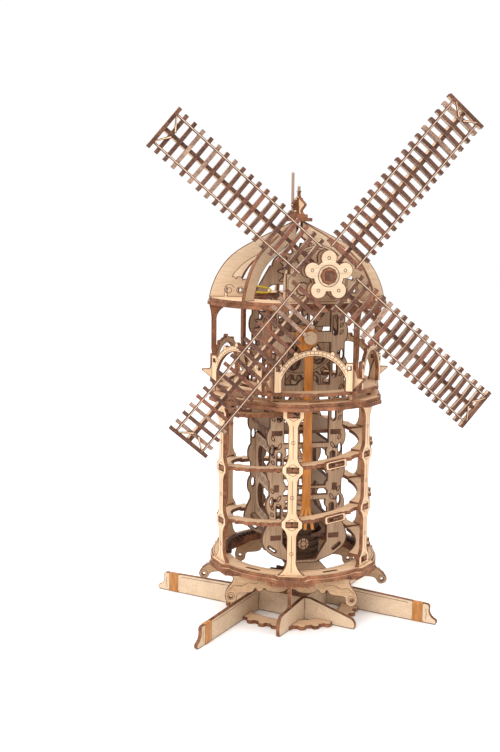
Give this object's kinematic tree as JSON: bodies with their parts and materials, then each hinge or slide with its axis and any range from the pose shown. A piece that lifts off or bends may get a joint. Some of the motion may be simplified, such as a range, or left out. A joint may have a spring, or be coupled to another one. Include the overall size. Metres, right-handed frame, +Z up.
{
  "type": "wooden 3d jigsaw model",
  "caption": "Laser-cut plywood tower windmill with lattice sails, open domed cap, spiral ramp, arched balcony, crossed base bars, gear train and rubber-band motor.",
  "frame": {"origin": "on the floor at the axis of the round tower", "axes": "+Z up; the windshaft points along -Y, so the sails face -Y; +X is to the right of someone who faces the sails"},
  "size_m": [0.2874, 0.1827, 0.4507],
  "materials": {
    "balcony_floor": "bare birch plywood with laser-burnt edges",
    "balcony_rim": "bare birch plywood with laser-burnt edges",
    "band_sleeve": "bare birch plywood with laser-burnt edges",
    "base_bar_back": "bare birch plywood with laser-burnt edges",
    "base_bar_front": "bare birch plywood with laser-burnt edges",
    "base_bar_left": "bare birch plywood with laser-burnt edges",
    "base_bar_right": "bare birch plywood with laser-burnt edges",
    "base_props": "bare birch plywood with laser-burnt edges",
    "base_ring_lower": "bare birch plywood with laser-burnt edges",
    "base_ring_upper": "bare birch plywood with laser-burnt edges",
    "brake_lever": "bare birch plywood with laser-burnt edges",
    "brake_wheel": "bare birch plywood with laser-burnt edges",
    "column_1": "bare birch plywood with laser-burnt edges",
    "column_2": "bare birch plywood with laser-burnt edges",
    "column_3": "bare birch plywood with laser-burnt edges",
    "column_4": "bare birch plywood with laser-burnt edges",
    "column_5": "bare birch plywood with laser-burnt edges",
    "column_6": "bare birch plywood with laser-burnt edges",
    "crown": "bare birch plywood with laser-burnt edges",
    "dome_ribs": "bare birch plywood with laser-burnt edges",
    "dome_ring_lower": "bare birch plywood with laser-burnt edges",
    "dome_ring_upper": "bare birch plywood with laser-burnt edges",
    "dormer_cheeks": "bare birch plywood with laser-burnt edges",
    "face_board": "bare birch plywood with laser-burnt edges",
    "fence_panels": "bare birch plywood with laser-burnt edges",
    "finial_plates": "bare birch plywood with laser-burnt edges",
    "finial_rods": "bare birch plywood with laser-burnt edges",
    "floor_plates": "bare birch plywood with laser-burnt edges",
    "frame_front": "bare birch plywood with laser-burnt edges",
    "frame_rear": "bare birch plywood with laser-burnt edges",
    "frame_shelves": "bare birch plywood with laser-burnt edges",
    "frame_side_plates": "bare birch plywood with laser-burnt edges",
    "gallery_axle": "bare birch plywood with laser-burnt edges",
    "gallery_gear": "bare birch plywood with laser-burnt edges",
    "gallery_pinion": "bare birch plywood with laser-burnt edges",
    "gallery_posts": "bare birch plywood with laser-burnt edges",
    "hub_plates": "bare birch plywood with laser-burnt edges",
    "leg_bands": "translucent amber rubber",
    "lever_pin": "bare birch plywood with laser-burnt edges",
    "lower_axle": "bare birch plywood with laser-burnt edges",
    "lower_gear": "bare birch plywood with laser-burnt edges",
    "motor_band": "translucent amber rubber",
    "ramp_clips": "bare birch plywood with laser-burnt edges",
    "ramp_turn_1": "bare birch plywood with laser-burnt edges",
    "ramp_turn_2": "bare birch plywood with laser-burnt edges",
    "ramp_turn_3": "bare birch plywood with laser-burnt edges",
    "rear_bearing": "bare birch plywood with laser-burnt edges",
    "sail_1_slats": "bare birch plywood with laser-burnt edges",
    "sail_2_slats": "bare birch plywood with laser-burnt edges",
    "sail_3_slats": "bare birch plywood with laser-burnt edges",
    "sail_4_slats": "bare birch plywood with laser-burnt edges",
    "sail_rails": "bare birch plywood with laser-burnt edges",
    "sail_spars": "bare birch plywood with laser-burnt edges",
    "sail_tips": "bare birch plywood with laser-burnt edges",
    "scroll_plates": "bare birch plywood with laser-burnt edges",
    "shaft_pinion": "bare birch plywood with laser-burnt edges",
    "toothed_ring": "bare laser-cut plywood, smoked by the laser",
    "winding_barrel": "bare laser-cut plywood, smoked by the laser",
    "winding_wheel": "bare laser-cut plywood, smoked by the laser",
    "windshaft": "bare birch plywood with laser-burnt edges"
  },
  "bodies": {
    "tower": {"balcony_floor": "balcony_floor", "balcony_rim": "balcony_rim", "base_bar_back": "base_bar_back", "base_bar_front": "base_bar_front", "base_bar_left": "base_bar_left", "base_bar_right": "base_bar_right", "base_props": "base_props", "base_ring_lower": "base_ring_lower", "base_ring_upper": "base_ring_upper", "column_1": "column_1", "column_2": "column_2", "column_3": "column_3", "column_4": "column_4", "column_5": "column_5", "column_6": "column_6", "crown": "crown", "dome_ribs": "dome_ribs", "dome_ring_lower": "dome_ring_lower", "dome_ring_upper": "dome_ring_upper", "dormer_cheeks": "dormer_cheeks", "face_board": "face_board", "fence_panels": "fence_panels", "finial_plates": "finial_plates", "finial_rods": "finial_rods", "floor_plates": "floor_plates", "frame_front": "frame_front", "frame_rear": "frame_rear", "frame_shelves": "frame_shelves", "frame_side_plates": "frame_side_plates", "gallery_posts": "gallery_posts", "leg_bands": "leg_bands", "lever_pin": "lever_pin", "motor_band": "motor_band", "ramp_clips": "ramp_clips", "ramp_turn_1": "ramp_turn_1", "ramp_turn_2": "ramp_turn_2", "ramp_turn_3": "ramp_turn_3", "rear_bearing": "rear_bearing", "scroll_plates": "scroll_plates", "toothed_ring": "toothed_ring"},
    "sails": {"windshaft": "windshaft", "shaft_pinion": "shaft_pinion", "brake_wheel": "brake_wheel", "hub_plates": "hub_plates", "sail_spars": "sail_spars", "sail_rails": "sail_rails", "sail_tips": "sail_tips", "sail_1_slats": "sail_1_slats", "sail_2_slats": "sail_2_slats", "sail_3_slats": "sail_3_slats", "sail_4_slats": "sail_4_slats"},
    "gallery_shaft": {"gallery_axle": "gallery_axle", "gallery_gear": "gallery_gear", "gallery_pinion": "gallery_pinion", "band_sleeve": "band_sleeve"},
    "lower_shaft": {"lower_axle": "lower_axle", "lower_gear": "lower_gear"},
    "winding_drum": {"winding_barrel": "winding_barrel", "winding_wheel": "winding_wheel"},
    "lever": {"brake_lever": "brake_lever"}
  },
  "joints": [
    {"name": "sails_spin", "type": "hinge", "parent": "tower", "child": "sails", "pos_m": [0, -0.06, 0.307], "axis": [0, -1, 0], "continuous": true},
    {"name": "gallery_spin", "type": "hinge", "parent": "tower", "child": "gallery_shaft", "pos_m": [0, 0, 0.252], "axis": [0, -1, 0], "continuous": true},
    {"name": "lower_spin", "type": "hinge", "parent": "tower", "child": "lower_shaft", "pos_m": [0, 0, 0.207], "axis": [0, -1, 0], "continuous": true},
    {"name": "winding_spin", "type": "hinge", "parent": "tower", "child": "winding_drum", "pos_m": [0, -0.0165, 0.06], "axis": [0, 0, 1], "continuous": true},
    {"name": "brake_swing", "type": "hinge", "parent": "tower", "child": "lever", "pos_m": [-0.03, -0.009, 0.205], "axis": [0, 1, 0], "range_deg": [0, 8]}
  ],
  "couplings": [
    {"joint": "gallery_spin", "follows": "sails_spin", "ratio": -0.375},
    {"joint": "lower_spin", "follows": "sails_spin", "ratio": 0.1875}
  ]
}
